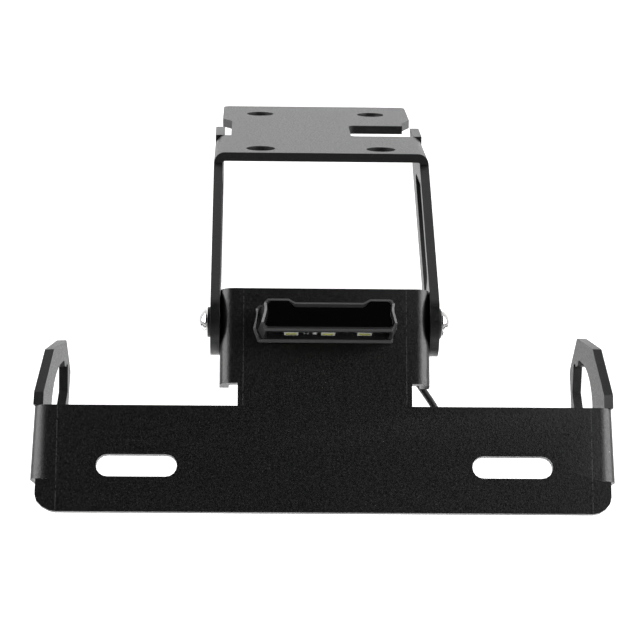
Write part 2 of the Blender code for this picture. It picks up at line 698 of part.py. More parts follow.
def lamp_screws():
    """Two pan-head screws through the web into the lamp, driven from behind."""
    radius = LAMP_HEAD / 2
    edge = TURNED_EDGE
    shank = LAMP_THREAD / 2
    profile = [(0, LAMP_SCREW_LENGTH), (shank - GAP, LAMP_SCREW_LENGTH),
               (shank, LAMP_SCREW_LENGTH - GAP), (shank, 0), (radius, 0),
               (radius, -LAMP_HEAD_HEIGHT + edge), (radius - edge, -LAMP_HEAD_HEIGHT),
               (0, -LAMP_HEAD_HEIGHT)]
    for side, name in ((-1, "left"), (1, "right")):
        place = FACE + Vector((side * LAMP_SCREW_PITCH / 2, -LAMP_FIXING_DROP, -SHEET - GAP))
        screw = add(f"lamp_screw_{name}", turned(profile, 20), STEEL, HINGE, place)
        cut(screw, cross_recess())


def cross_recess():
    """The cross-shaped recess in a lamp screw's head."""
    reach = LAMP_RECESS / 2
    half = LAMP_RECESS_ARM / 2
    quarter = [(half, half), (half, reach), (-half, reach)]
    corners = []
    for turn in range(4):
        spin = Matrix.Rotation(turn * pi / 2, 2)
        corners += [tuple(spin @ Vector(point)) for point in quarter]
    return flat([corners], -2 * LAMP_HEAD_HEIGHT, LAMP_RECESS_DEPTH - LAMP_HEAD_HEIGHT)


def grommet():
    """Flanged bush that leads the cable out through the web."""
    neck = CABLE_HOLE / 2 - GAP
    flange = -SHEET - GAP
    out = flange - GROMMET_LIP
    bore = CABLE / 2 + GAP
    profile = [(bore, -GAP), (neck, -GAP), (neck, flange), (GROMMET_FLANGE / 2, flange),
               (GROMMET_FLANGE / 2, out + GAP), (GROMMET_FLANGE / 2 - GAP, out), (bore, out)]
    place = FACE + Vector((0, -LAMP_FIXING_DROP, 0))
    add("cable_grommet", turned(profile, 24, closed=True), RUBBER, HINGE, place)


def spline_through(points, spacing):
    """Points about evenly spaced on a smooth curve through the given points."""
    path = [Vector(point) for point in points]
    ends = [2 * path[0] - path[1]] + path + [2 * path[-1] - path[-2]]
    smooth_path = []
    for i in range(len(path) - 1):
        a, b, c, d = ends[i:i + 4]
        count = max(1, round((c - b).length / spacing))
        for step in range(count):
            t = step / count
            smooth_path.append(0.5 * (2 * b + (c - a) * t + (2 * a - 5 * b + 4 * c - d) * t ** 2
                                      + (3 * b - a - 3 * c + d) * t ** 3))
    return smooth_path + [path[-1]]


def coil_sizes():
    """Width along X, and inner and outer radius of the coil."""
    width = (COIL_TURNS + 1) * CABLE
    return width, COIL_DIAMETER / 2 - CABLE / 2, COIL_DIAMETER / 2 + CABLE / 2


def cable():
    """The lamp's cable: a tube to the coil, the coil as a ring, its tie and the plug."""
    width, inner, outer = coil_sizes()
    first = COIL_SIDE - width / 2 + CABLE / 2
    reach = sqrt(outer ** 2 - inner ** 2) + GAP
    entry = Vector((first, -COIL_DROP + reach, -COIL_BACK + COIL_DIAMETER / 2))
    route = spline_through(list(ROUTE) + [tuple(entry)], 2.5 * CABLE)
    curve = bpy.data.curves.new("lamp_cable", "CURVE")
    curve.dimensions = "3D"
    curve.bevel_depth = CABLE / 2
    curve.bevel_resolution = 2
    curve.use_fill_caps = True
    spline = curve.splines.new("POLY")
    spline.points.add(len(route) - 1)
    for place, point in zip(spline.points, route):
        place.co = (*point, 1)
    tube = bpy.data.objects.new("lamp_cable", curve)
    PARTS.objects.link(tube)
    tube.parent = HINGE
    tube.location = FACE
    curve.materials.append(CABLE_BLACK)
    centre = FACE + Vector((COIL_SIDE, -COIL_DROP, -COIL_BACK))
    across = (0, pi / 2, 0)
    add("cable_coil", ring(2 * inner, 2 * outer, -width / 2, width / 2, 48), CABLE_BLACK, HINGE,
        centre, across)
    hole = (width + 2 * GAP, CABLE + 2 * GAP)
    band = (hole[0] + 2 * TIE_THICK, hole[1] + 2 * TIE_THICK)
    wrap = [[(x * w / 2, y * h / 2) for x, y in ((1, 1), (-1, 1), (-1, -1), (1, -1))]
            for w, h in (band, hole)]
    low = FACE + Vector((COIL_SIDE, -COIL_DROP - COIL_DIAMETER / 2, -COIL_BACK))
    add("cable_tie", flat(wrap, -TIE_WIDTH / 2, TIE_WIDTH / 2), NYLON_BLACK, HINGE, low)
    rear = -COIL_BACK - COIL_DIAMETER / 2
    clear_of = sqrt(outer ** 2 - (COIL_DIAMETER / 2 - PLUG[2] / 2) ** 2) + GAP
    last = COIL_SIDE + width / 2 - CABLE / 2
    place = (last, -COIL_DROP + clear_of + PLUG[1] / 2, rear)
    add("cable_plug", block(PLUG, place), NYLON_BLACK, HINGE, FACE)


clear()
PARTS = new_collection("licence_plate_holder")
CUTTERS = new_collection("cutters")

BLACK_PAINT = finish("black_powder_coat", (0.022, 0.022, 0.023), 0.42)
STEEL = finish("bright_steel", (0.72, 0.72, 0.71), 0.18, 1.0)
NYLON = finish("white_nylon", (0.80, 0.80, 0.78), 0.5)
NYLON_BLACK = finish("black_nylon", (0.02, 0.02, 0.02), 0.5)
BLACK_PLASTIC = finish("black_plastic", (0.018, 0.018, 0.018), 0.45)
DARK_GLOSS = finish("dark_gloss_plastic", (0.004, 0.004, 0.004), 0.08)
CLEAR = finish("clear_plastic", (0.85, 0.87, 0.88), 0.05)
BOARD_BLACK = finish("black_circuit_board", (0.012, 0.014, 0.013), 0.35)
WHITE_PLASTIC = finish("white_plastic", (0.85, 0.84, 0.78), 0.4)
RUBBER = finish("black_rubber", (0.015, 0.015, 0.015), 0.8)
CABLE_BLACK = finish("black_cable", (0.014, 0.014, 0.014), 0.5)

HINGE = bpy.data.objects.new("plate_tilt", None)
PARTS.objects.link(HINGE)
HINGE.location = PIVOT
HINGE.rotation_euler = (pi / 2 - TILT, 0, 0)

mounting_bracket()
plate_holder()
pivot_side(-1, "left")
pivot_side(1, "right")
lamp()
lamp_screws()
grommet()
cable()
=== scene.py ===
"""Looks of the licence plate holder: black powder-coated steel, bright pivot screws and a plate lamp."""
from math import cos, hypot, pi, radians, sin

import bmesh
import bpy
from mathutils import Matrix, Vector


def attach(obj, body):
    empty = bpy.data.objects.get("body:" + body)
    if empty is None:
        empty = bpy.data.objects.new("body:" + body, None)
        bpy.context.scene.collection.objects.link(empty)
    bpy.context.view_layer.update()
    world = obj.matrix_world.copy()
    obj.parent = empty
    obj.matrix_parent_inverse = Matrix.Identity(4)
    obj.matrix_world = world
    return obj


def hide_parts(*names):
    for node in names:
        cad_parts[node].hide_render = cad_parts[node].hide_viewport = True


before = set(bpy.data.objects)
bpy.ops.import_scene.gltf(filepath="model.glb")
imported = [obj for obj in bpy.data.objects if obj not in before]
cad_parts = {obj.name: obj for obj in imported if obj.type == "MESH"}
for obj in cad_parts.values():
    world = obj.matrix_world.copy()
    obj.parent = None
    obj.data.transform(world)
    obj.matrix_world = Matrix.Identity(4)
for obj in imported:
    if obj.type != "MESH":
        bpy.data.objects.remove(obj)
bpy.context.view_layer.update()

# Camera
# It stands a metre in front of the holder and a hand's span above it, with a long lens, so that the
# top plate is seen at a flat angle.
CAMERA_PLACE = (-0.02934, -1.11363, 0.16832)
YAW = 0.0282
PITCH = 0.2244
ROLL = -0.0140
SENSOR = 36
FOCAL_LENGTH = 142.49

forward = Vector((sin(YAW) * cos(PITCH), cos(YAW) * cos(PITCH), -sin(PITCH)))
level = Vector((cos(YAW), -sin(YAW), 0))
upright = level.cross(forward)
right = level * cos(ROLL) - upright * sin(ROLL)
up = level * sin(ROLL) + upright * cos(ROLL)
lens = bpy.data.cameras.new("camera")
lens.sensor_width = SENSOR
lens.lens = FOCAL_LENGTH
camera = bpy.data.objects.new("camera", lens)
bpy.context.scene.collection.objects.link(camera)
facing = Matrix((right, up, -forward)).transposed().to_4x4()
camera.matrix_world = Matrix.Translation(CAMERA_PLACE) @ facing
bpy.context.scene.camera = camera

# Lamp cable
# A round two-core lead, 2.8 mm across, in a smooth black sheath. It leaves the web through a rubber
# bush, runs behind the neck to the right and ends in a tied coil and a small plug.
CABLE = 0.0028
COIL_RADIUS = 0.0145
COIL_TURNS = 2.5
COIL_POINTS = 90
COIL_CENTRE = Vector((0.0503, -0.0550, -0.0245))
COIL_WIDTH = COIL_TURNS * CABLE
PLUG_ABOVE = 0.0104

# The way from the bush to the coil, each point given across, up and out of the holder's front face.
ROUTE = [(0.0000, -0.0030, -0.0059), (0.0012, -0.0034, -0.0110), (0.0080, -0.0060, -0.0158),
         (0.0190, -0.0107, -0.0176), (0.0302, -0.0170, -0.0170), (0.0379, -0.0238, -0.0156),
         (0.0421, -0.0302, -0.0150), (0.0455, -0.0364, -0.0128)]

# The holder's pivot, how far its plate leans back, and how far its front face lies ahead of the pivot.
PIVOT = Vector((0, -0.1332, -0.0567))
TILT = radians(26)
FACE_AHEAD = 0.0110


def on_plate(across, upward, outward):
    """World place of a point given across, up and out of the plate holder's front face."""
    ahead = outward + FACE_AHEAD
    return PIVOT + Vector((across, upward * sin(TILT) - ahead * cos(TILT),
                           upward * cos(TILT) + ahead * sin(TILT)))


def smooth_path(points, spacing):
    """Points about evenly spaced on a smooth curve through the given ones."""
    ends = [2 * points[0] - points[1]] + points + [2 * points[-1] - points[-2]]
    path = []
    for i in range(len(points) - 1):
        a, b, c, d = ends[i:i + 4]
        count = max(1, round((c - b).length / spacing))
        for step in range(count):
            t = step / count
            path.append(0.5 * (2 * b + (c - a) * t + (2 * a - 5 * b + 4 * c - d) * t ** 2
                               + (3 * b - a - 3 * c + d) * t ** 3))
    return path + [points[-1]]


def coil_turns():
    """Points along the coil, from its top at the front round to where the plug's tail leaves it."""
    whole = 2 * pi * COIL_TURNS
    points = []
    for i in range(COIL_POINTS + 1):
        turn = whole * i / COIL_POINTS
        across = COIL_CENTRE.x - COIL_WIDTH / 2 + COIL_WIDTH * turn / whole
        points.append(Vector((across, COIL_CENTRE.y - COIL_RADIUS * sin(turn),
                              COIL_CENTRE.z + COIL_RADIUS * cos(turn))))
    return points


def plain_material(name, colour, roughness, metallic=0.0):
    """A Principled material with one colour, to which detail is added."""
    made = bpy.data.materials.new(name)
    made.use_nodes = True
    shader = made.node_tree.nodes["Principled BSDF"]
    shader.inputs["Base Color"].default_value = (*colour, 1)
    shader.inputs["Roughness"].default_value = roughness
    shader.inputs["Metallic"].default_value = metallic
    return made, made.node_tree, shader


def noise(tree, cells, detail=2, roughness=0.5):
    """Noise over the object's own coordinates, in cells per metre."""
    place = tree.nodes.new("ShaderNodeTexCoord")
    texture = tree.nodes.new("ShaderNodeTexNoise")
    texture.inputs["Scale"].default_value = cells
    texture.inputs["Detail"].default_value = detail
    texture.inputs["Roughness"].default_value = roughness
    tree.links.new(place.outputs["Object"], texture.inputs["Vector"])
    return texture.outputs["Fac"]


def ramp(tree, source, low, high, start=0.0, end=1.0):
    """Spread a value that runs from start to end between two levels."""
    spread = tree.nodes.new("ShaderNodeMapRange")
    spread.inputs["From Min"].default_value = start
    spread.inputs["From Max"].default_value = end
    spread.inputs["To Min"].default_value = low
    spread.inputs["To Max"].default_value = high
    tree.links.new(source, spread.inputs["Value"])
    return spread.outputs["Result"]


def bump(tree, shader, pattern, height, below=None):
    """Raise the surface by a pattern of some height, on top of the bump given as below."""
    node = tree.nodes.new("ShaderNodeBump")
    node.inputs["Distance"].default_value = height
    tree.links.new(pattern, node.inputs["Height"])
    if below is not None:
        tree.links.new(below, node.inputs["Normal"])
    tree.links.new(node.outputs["Normal"], shader.inputs["Normal"])
    return node.outputs["Normal"]


def uneven_gloss(tree, shader, cells, smooth, matt, detail=3, start=0.0, end=1.0):
    """Let the roughness wander between two levels."""
    wander = ramp(tree, noise(tree, cells, detail), smooth, matt, start, end)
    tree.links.new(wander, shader.inputs["Roughness"])


def fine_grain(tree, shader, cells, height, detail=2):
    """Raise a fine and even grain."""
    bump(tree, shader, noise(tree, cells, detail), height)


def put(name, mesh, material, body):
    """Add a mesh or curve as a piece that moves with a body."""
    piece = bpy.data.objects.new(name, mesh)
    bpy.context.scene.collection.objects.link(piece)
    mesh.materials.clear()
    mesh.materials.append(material)
    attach(piece, body)
    return piece


sheath, tree, shader = plain_material("cable_sheath", (0.014, 0.014, 0.014), roughness=0.45)
uneven_gloss(tree, shader, cells=900, smooth=0.36, matt=0.55, start=0.3, end=0.7)
fine_grain(tree, shader, cells=1800, height=0.00002)

coil = coil_turns()
tail = coil[-1] + Vector((0, PLUG_ABOVE, 0))
lead = smooth_path([Vector(point) for point in ROUTE] + [coil[0]], 2 * CABLE)[:-1] + coil + [tail]
lead = [on_plate(*point) for point in lead]
curve = bpy.data.curves.new("lamp_lead", "CURVE")
curve.dimensions = "3D"
curve.bevel_depth = CABLE / 2
curve.bevel_resolution = 4
curve.use_fill_caps = True
spline = curve.splines.new("POLY")
spline.points.add(len(lead) - 1)
for place, point in zip(spline.points, lead):
    place.co = (*point, 1)
spline.use_smooth = True
lamp_lead = put("lamp_lead", curve, sheath, "holder")
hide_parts("lamp_cable", "cable_coil")

# Plug, tie and bush on the cable
# The plug and the tie are black nylon mouldings with a fine matt grain, and the bush in the web is
# soft black rubber.
nylon, tree, shader = plain_material("black_nylon", (0.018, 0.018, 0.018), roughness=0.5)
fine_grain(tree, shader, cells=2500, height=0.00002)
rubber, tree, shader = plain_material("black_rubber", (0.013, 0.013, 0.013), roughness=0.75)
uneven_gloss(tree, shader, cells=700, smooth=0.62, matt=0.85)
fine_grain(tree, shader, cells=3000, height=0.00003, detail=3)


def dress(material, *names):
    """Give CAD nodes a material."""
    for name in names:
        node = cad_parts[name]
        for place in node.material_slots:
            place.material = material


dress(nylon, "cable_plug", "cable_tie")
dress(rubber, "cable_grommet")

# Mounting bracket and plate holder
# Each is one piece of 3.5 mm mild steel, cut, folded and powder coated in satin black. The coat
# rounds the cut edges, has a fine orange peel and carries a few grains of pale dust, and the press
# brake left faint lines beside the folds.
COAT_THICKNESS = 0.0001
COAT_EDGE = 0.00035
COAT_DARK = (0.0002, 0.0002, 0.0002, 1)
COAT_PALE = (0.0014, 0.0014, 0.0015, 1)
SPECK = (0.018, 0.018, 0.018, 1)
DUST = (0.20, 0.20, 0.19, 1)
DUST_SIZE = 0.00022
DUST_CELLS = 90
BARE_CELLS = 0.80
MARK_COLOUR = (0.06, 0.06, 0.06, 1)
MARK_STRENGTH = 0.5
MARK_WIDTH = 0.00016
MARK_GAPS = 0.42
MARKS_END = -0.13
WEB_MARK = 0.0320
PLATE_MARK = 0.1040
NECK_HEIGHT = -0.0840

# Where the ears' folds are, and how far each ear is off its drawn place.
EAR_ZONE = 0.0878
EAR_ROOT = 0.1078
EAR_BEND = 0.0040
PLATE_EDGE = -0.0360
LEFT_LEAN = 0.040
LEAN_ABOVE = 0.0120
RIGHT_RISE = 0.065
RIGHT_TOE = 0.018
RIGHT_PROUD = 0.0008

# The top plate's rear corners and left notch as drawn, and by how much the real ones differ.
CORNER_CENTRE = (0.0344, 0.0675)
CORNER_TIGHTER = 0.005
LEFT_NOTCH = (-0.0382, 0.0237)
NOTCH_SIZE = 0.0006
NOTCH_BACK = 0.0037

# Points this close are one point, faces that meet below the flat angle are one face, and edges over
# the sharp angle are rounded.
SAME_POINT = 1e-6
FLAT_FOLD = radians(0.6)
SHARP_FOLD = radians(30)
EDGE_STEPS = 2


def math_node(tree, kind, first, second=None):
    """One step of arithmetic on a value."""
    node = tree.nodes.new("ShaderNodeMath")
    node.operation = kind
    for place, value in zip(node.inputs, (first, second)):
        if isinstance(value, (int, float)):
            place.default_value = value
        elif value is not None:
            tree.links.new(value, place)
    return node.outputs[0]


# A Mix node has its own sockets for each kind of value, and these are the ones for colours.
MIX_FIRST = 6
MIX_SECOND = 7
MIX_RESULT = 2


def blend_colour(tree, share, first, second):
    """Mix two colours, either of which may come from another node."""
    node = tree.nodes.new("ShaderNodeMix")
    node.data_type = "RGBA"
    for place, colour in ((node.inputs[MIX_FIRST], first), (node.inputs[MIX_SECOND], second)):
        if isinstance(colour, tuple):
            place.default_value = colour
        else:
            tree.links.new(colour, place)
    tree.links.new(share, node.inputs["Factor"])
    return node.outputs[MIX_RESULT]


def dust_grains(tree):
    """A mask of round grains, one at most in each of the cells per metre, most of which stay bare."""
    place = tree.nodes.new("ShaderNodeTexCoord")
    spots = tree.nodes.new("ShaderNodeTexVoronoi")
    spots.inputs["Scale"].default_value = DUST_CELLS
    tree.links.new(place.outputs["Object"], spots.inputs["Vector"])
    parts = tree.nodes.new("ShaderNodeSeparateColor")
    tree.links.new(spots.outputs["Color"], parts.inputs["Color"])
    near = math_node(tree, "LESS_THAN", spots.outputs["Distance"], DUST_SIZE * DUST_CELLS)
    chosen = math_node(tree, "GREATER_THAN", parts.outputs["Red"], BARE_CELLS)
    return math_node(tree, "MULTIPLY", near, chosen)


def press_marks(tree):
    """A mask of the faint lines that the press brake left beside the folds."""
    place = tree.nodes.new("ShaderNodeTexCoord")
    axes = tree.nodes.new("ShaderNodeSeparateXYZ")
    tree.links.new(place.outputs["Object"], axes.inputs["Vector"])
    aside = math_node(tree, "ABSOLUTE", axes.outputs["X"])
    lines = []
    for mark, zone in ((WEB_MARK, "GREATER_THAN"), (PLATE_MARK, "LESS_THAN")):
        off = math_node(tree, "ABSOLUTE", math_node(tree, "SUBTRACT", aside, mark))
        line = math_node(tree, "LESS_THAN", off, MARK_WIDTH)
        inside = math_node(tree, zone, axes.outputs["Z"], NECK_HEIGHT)
        lines.append(math_node(tree, "MULTIPLY", line, inside))
    both = math_node(tree, "ADD", *lines)
    ahead = math_node(tree, "LESS_THAN", axes.outputs["Y"], MARKS_END)
    broken = math_node(tree, "GREATER_THAN", noise(tree, cells=900), MARK_GAPS)
    return math_node(tree, "MULTIPLY", math_node(tree, "MULTIPLY", both, ahead), broken)


coat, tree, shader = plain_material("satin_black_powder_coat", (0.010, 0.010, 0.0105), roughness=0.42)
shader.inputs["Specular IOR Level"].default_value = 0.46
peel = noise(tree, cells=620, detail=3, roughness=0.6)
grain = noise(tree, cells=1500, detail=2, roughness=0.6)
speckle = ramp(tree, grain, low=0, high=1, start=0.40, end=0.72)
colour = blend_colour(tree, speckle, COAT_DARK, COAT_PALE)
flecks = ramp(tree, noise(tree, cells=2000, detail=1), low=0, high=1, start=0.63, end=0.75)
colour = blend_colour(tree, flecks, colour, SPECK)
marks = math_node(tree, "MULTIPLY", press_marks(tree), MARK_STRENGTH)
colour = blend_colour(tree, marks, colour, MARK_COLOUR)
colour = blend_colour(tree, dust_grains(tree), colour, DUST)
tree.links.new(colour, shader.inputs["Base Color"])
gloss = ramp(tree, grain, low=0.28, high=0.46, start=0.3, end=0.7)
tree.links.new(gloss, shader.inputs["Roughness"])
under = bump(tree, shader, peel, height=0.00006)
bump(tree, shader, grain, height=0.00005, below=under)


def from_plate(place):
    """How far a world place lies across, up and out of the plate holder's front face."""
    across, back, above = place - PIVOT
    return Vector((across, back * sin(TILT) + above * cos(TILT),
                   above * sin(TILT) - back * cos(TILT) - FACE_AHEAD))


def set_ears(place):
    """The fold's slack: the left ear leans out at its foot, and the right one stands higher."""
    across, upward, outward = from_plate(place)
    if abs(across) < EAR_ZONE:
        return place
    behind = min(1, max(0, -outward - EAR_BEND) / EAR_BEND)
    beside = min(1, max(0, (abs(across) - EAR_ROOT) / EAR_BEND))
    share = max(behind, beside)
    if across < 0:
        across -= LEFT_LEAN * (PLATE_EDGE + LEAN_ABOVE - upward) * share
    else:
        upward += RIGHT_RISE * max(0, upward - PLATE_EDGE) * share
        across += RIGHT_TOE * min(0, outward) * share
        across += RIGHT_PROUD * share * (upward < PLATE_EDGE)
    return on_plate(across, upward, outward)


def settle_top_plate(place):
    """The top plate's rear corners have a small radius, and its left notch reaches further back."""
    if hypot(place.x - LEFT_NOTCH[0], place.y - LEFT_NOTCH[1]) < NOTCH_SIZE:
        return place + Vector((0, NOTCH_BACK, 0))
    aside, back = abs(place.x) - CORNER_CENTRE[0], place.y - CORNER_CENTRE[1]
    if min(aside, back) <= 0:
        return place
    share = 1 - CORNER_TIGHTER / hypot(aside, back)
    across = CORNER_CENTRE[0] + CORNER_TIGHTER + aside * share
    return Vector((across if place.x > 0 else -across,
                   CORNER_CENTRE[1] + CORNER_TIGHTER + back * share, place.z))


def rounded_copy(node, name, material, body, edge, grow=0, reshape=None, carve=None):
    """Copy a node with its round stretches smooth, its edges rounded and its skin grown by a coat."""
    work = bmesh.new()
    work.from_mesh(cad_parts[node].data)
    bmesh.ops.remove_doubles(work, verts=work.verts, dist=SAME_POINT)
    bmesh.ops.dissolve_limit(work, angle_limit=FLAT_FOLD, verts=work.verts, edges=work.edges)
    work.normal_update()
    places = [point.co + point.normal * point.calc_shell_factor() * grow for point in work.verts]
    for point, place in zip(work.verts, places):
        point.co = reshape(place) if reshape else place
    if carve:
        carve(work)
    mesh = bpy.data.meshes.new(name)
    work.to_mesh(mesh)
    work.free()
    if "custom_normal" in mesh.attributes:
        mesh.attributes.remove(mesh.attributes["custom_normal"])
    mesh.shade_smooth()
    piece = put(name, mesh, material, body)
    edges = piece.modifiers.new("rounded_edges", "BEVEL")
    edges.width = edge
    edges.segments = EDGE_STEPS
    edges.limit_method = "ANGLE"
    edges.angle_limit = SHARP_FOLD
    edges.harden_normals = True
    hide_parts(node)
    return piece


rounded_copy("mounting_bracket", "mounting_bracket_coated", coat, "bracket",
             edge=COAT_EDGE, grow=COAT_THICKNESS, reshape=settle_top_plate)
rounded_copy("plate_holder", "plate_holder_coated", coat, "holder",
             edge=COAT_EDGE, grow=COAT_THICKNESS, reshape=set_ears)

# Pivot screws, washers and nuts
# M6 button-head screws and lock nuts in bright plated steel, on dark steel washers, with a white nylon
# ring in each nut. The heads, and the lamp's two small screws, are cold formed and polished by
# tumbling, so they mirror the room with fine scratches.
PIVOT_EDGE = 0.00012
LAMP_SCREW_EDGE = 0.0001

bright, tree, shader = plain_material("bright_plated_steel", (0.74, 0.74, 0.73), roughness=0.16,
                                      metallic=1)
uneven_gloss(tree, shader, cells=1500, smooth=0.10, matt=0.24)
fine_grain(tree, shader, cells=900, height=0.00002)
dark_steel, tree, shader = plain_material("dark_washer_steel", (0.05, 0.05, 0.05), roughness=0.35,
                                         metallic=1)
uneven_gloss(tree, shader, cells=1800, smooth=0.28, matt=0.42)
fine_grain(tree, shader, cells=1200, height=0.00002)
white_nylon, tree, shader = plain_material("white_nylon", (0.78, 0.78, 0.75), roughness=0.45)
fine_grain(tree, shader, cells=2500, height=0.00002)
for side in ("left", "right"):
    for part in (f"pivot_screw_{side}", f"pivot_nut_{side}"):
        rounded_copy(part, part + "_plated", bright, "bracket", edge=PIVOT_EDGE)
    for part in (f"pivot_washer_{side}", f"inner_washer_{side}"):
        rounded_copy(part, part + "_dark_steel", dark_steel, "bracket",
                     edge=PIVOT_EDGE)
    rounded_copy(f"lamp_screw_{side}", f"lamp_screw_{side}_plated", bright, "holder",
                 edge=LAMP_SCREW_EDGE)
    dress(white_nylon, "nut_insert_" + side)

# Plate lamp
# A moulded dark grey plastic housing stands on the web. A polished black panel fills its front, and
# its underside is a clear window over a black board with three LED packages and two chips.
LAMP_ASIDE = 0.0008
LAMP_LEAN = 0.03
RIM_FACE = 0.0050
RIM_REACH = 0.0005
RIM_THINNER = 0.0028
HOUSING_EDGE = 0.00015
PANEL_EDGE = 0.00012
WINDOW_EDGE = 0.00008

housing_plastic, tree, shader = plain_material("grey_black_plastic", (0.014, 0.014, 0.0145),
                                               roughness=0.3)
shader.inputs["Specular IOR Level"].default_value = 0.38
uneven_gloss(tree, shader, cells=600, smooth=0.24, matt=0.36)
fine_grain(tree, shader, cells=1400, height=0.00001)
# Painted shade: a near-black paint for the lamp's inner walls, standing in for the shade in its cavity.
cavity_painted_shade, tree, shader = plain_material("lamp_cavity_painted_shade", (0.003, 0.003, 0.003), roughness=0.6)
fine_grain(tree, shader, cells=2600, height=0.00002)
panel_gloss, tree, shader = plain_material("dark_gloss_panel", (0.0008, 0.0008, 0.0008),
                                           roughness=0.06)
uneven_gloss(tree, shader, cells=160, smooth=0.04, matt=0.10, detail=4)
clear, tree, shader = plain_material("clear_window", (0.02, 0.02, 0.02), roughness=0.04)
shader.inputs["Alpha"].default_value = 0.06
uneven_gloss(tree, shader, cells=300, smooth=0.03, matt=0.08)
mask, tree, shader = plain_material("black_board", (0.006, 0.007, 0.007), roughness=0.4)
fine_grain(tree, shader, cells=2600, height=0.00002)


def settle_lamp(place):
    """The lamp's base rim is thin, and the body leans a little to the right on it."""
    across, upward, outward = from_plate(place)
    if abs(outward - RIM_FACE) < RIM_REACH:
        outward -= RIM_THINNER
    across += LAMP_LEAN * max(0, outward - RIM_THINNER)
    return on_plate(across, upward, outward)


# A chamfer is cut where the outline lies at one height over the web and its side wall starts lower.
OUTLINES = {"rim": {"height": 0.0020, "foot": 0.0010, "width": 0.0010},
            "lip": {"height": 0.0170, "foot": 0.0060, "width": 0.0009}}
OUTLINE_SLACK = 0.0003


def chamfer_lamp(work):
    """Cut the wide chamfers round the base rim and round the front lip."""
    for outline in OUTLINES.values():
        chosen = []
        for edge in work.edges:
            off = [abs(from_plate(point.co).z - outline["height"]) for point in edge.verts]
            wall = [from_plate(point.co).z for face in edge.link_faces for point in face.verts]
            if max(off) < OUTLINE_SLACK and min(wall) < outline["foot"]:
                chosen.append(edge)
        bmesh.ops.bevel(work, geom=chosen, offset=outline["width"], segments=1, affect="EDGES")


housing = rounded_copy("lamp_housing", "lamp_housing_moulded", housing_plastic, "holder",
                       edge=HOUSING_EDGE, reshape=settle_lamp, carve=chamfer_lamp)
rounded_copy("lamp_lens", "lamp_window_clear", clear, "holder", edge=WINDOW_EDGE,
             reshape=settle_lamp)
rounded_copy("lamp_circuit_board", "lamp_board_masked", mask, "holder",
             edge=WINDOW_EDGE, reshape=settle_lamp)
rounded_copy("lamp_front_panel", "lamp_front_panel_polished", panel_gloss, "holder",
             edge=PANEL_EDGE, reshape=settle_lamp)

# The walls round the board get painted shade, near black, so that the window looks dark between the
# LEDs.
CAVITY_HALF_WIDTH = 0.0262
CAVITY_TOP = -0.0048
CAVITY_FOOT = -0.0096
CAVITY_FRONT = 0.0150

housing.data.materials.append(cavity_painted_shade)
for face in housing.data.polygons:
    across, upward, outward = from_plate(face.center)
    if abs(across - LAMP_ASIDE) < CAVITY_HALF_WIDTH and CAVITY_FOOT < upward < CAVITY_TOP:
        face.material_index = int(outward < CAVITY_FRONT)

# LEDs and chips
# Three white moulded packages with a dish of yellow phosphor and tinned legs, and between the first two
# a dark and a pale ceramic chip with tinned ends. They are soldered to the board and face down.
LED_PLACES = (-0.0134, 0.0010, 0.0152)
LED_SIZE = (0.0055, 0.0014, 0.0050)
LED_MIDDLE = (-0.0082, 0.0078)
LED_FRAME = 0.0006
LED_DISH = 0.00025
LED_EDGE = 0.00012
PHOSPHOR_UP = 0.00015
PHOSPHOR_THICK = 0.0002
PHOSPHOR_GAP = 0.0001
PHOSPHOR_EDGE = 0.00006
LEG_SIZE = (0.0001, 0.0007, 0.0030)
LEG_ABOVE = 0.0002
CHIP_PLACES = (-0.0076, -0.0043)
CHIP_SIZE = (0.0019, 0.0015, 0.0022)
CHIP_MIDDLE = (-0.00828, 0.0090)
CHIP_EDGE = 0.00006
CHIP_END = 0.0004
TIN_THICK = 0.0001
TIN_EDGE = 0.00008

package, tree, shader = plain_material("led_package", (0.72, 0.72, 0.70), roughness=0.4)
fine_grain(tree, shader, cells=4000, height=0.00001)
phosphor, tree, shader = plain_material("yellow_phosphor", (0.55, 0.57, 0.12), roughness=0.35)
tint = blend_colour(tree, noise(tree, cells=2500), (0.62, 0.62, 0.09, 1), (0.46, 0.50, 0.12, 1))
tree.links.new(tint, shader.inputs["Base Color"])
tinned, tree, shader = plain_material("tinned_ends", (0.80, 0.80, 0.79), roughness=0.35, metallic=0.6)
uneven_gloss(tree, shader, cells=4000, smooth=0.16, matt=0.32, detail=2)
dark_chip, tree, shader = plain_material("dark_chip", (0.012, 0.012, 0.013), roughness=0.35)
fine_grain(tree, shader, cells=5000, height=0.00001)
pale_chip, tree, shader = plain_material("pale_chip", (0.80, 0.79, 0.76), roughness=0.3)
fine_grain(tree, shader, cells=5000, height=0.00001)


def plate_block(work, middle, size):
    """Add a block, its middle and sides given across, up and out of the plate holder."""
    for point in bmesh.ops.create_cube(work, size=1)["verts"]:
        point.co = on_plate(*(m + s * c for m, s, c in zip(middle, size, point.co)))


def moulded(name, work, material, edge):
    """Finish a small piece of the lamp with rounded edges."""
    mesh = bpy.data.meshes.new(name)
    bmesh.ops.recalc_face_normals(work, faces=work.faces)
    work.to_mesh(mesh)
    work.free()
    piece = put(name, mesh, material, "holder")
    edges = piece.modifiers.new("rounded_edges", "BEVEL")
    edges.width = edge
    edges.segments = EDGE_STEPS
    return piece


